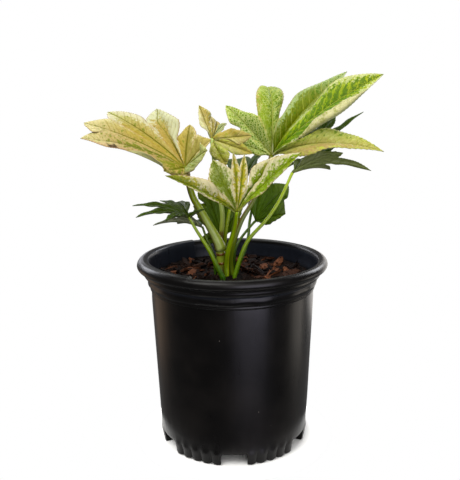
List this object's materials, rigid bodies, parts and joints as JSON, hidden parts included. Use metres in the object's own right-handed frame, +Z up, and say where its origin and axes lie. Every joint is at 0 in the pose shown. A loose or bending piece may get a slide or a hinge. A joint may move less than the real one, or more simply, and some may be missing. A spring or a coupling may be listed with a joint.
{
  "type": "potted plant",
  "caption": "Young variegated fatsia with palmate toothed leaves on long stalks, in a round black nursery pot filled with bark compost.",
  "frame": {"origin": "on the pot's axis, on the surface that the pot's feet stand on", "axes": "+Z up, -Y towards the viewer of the picture, +X to that viewer's right"},
  "size_m": [0.2517, 0.165, 0.3206],
  "materials": {
    "pot_plastic": "semi-gloss moulded black plastic",
    "soil": "damp bark compost",
    "stem": "young bark with ring scars",
    "petiole": "smooth green stalk",
    "cream": "satin young leaf, cream and pale green",
    "yellow_green": "satin leaf, yellow-green with fine pale mottling",
    "variegated": "satin leaf, green with cream margins",
    "dark_green": "satin dark green leaf with a grey-green underside"
  },
  "bodies": {
    "root": {"pot": "pot_plastic", "soil": "soil", "stem": "stem", "petiole_left": "petiole", "petiole_young_top": "petiole", "petiole_right": "petiole", "petiole_front": "petiole", "petiole_lower_right": "petiole", "petiole_rear_right": "petiole", "petiole_middle_dark": "petiole", "petiole_rear_left": "petiole", "petiole_low_left": "petiole", "petiole_under_left": "petiole", "petiole_rear_centre": "petiole", "blade_left": "cream", "blade_young_top": "cream", "blade_right": "yellow_green", "blade_front": "variegated", "blade_lower_right": "dark_green", "blade_rear_right": "dark_green", "blade_middle_dark": "dark_green", "blade_rear_left": "dark_green", "blade_low_left": "dark_green", "blade_under_left": "dark_green", "blade_rear_centre": "dark_green"}
  },
  "joints": []
}
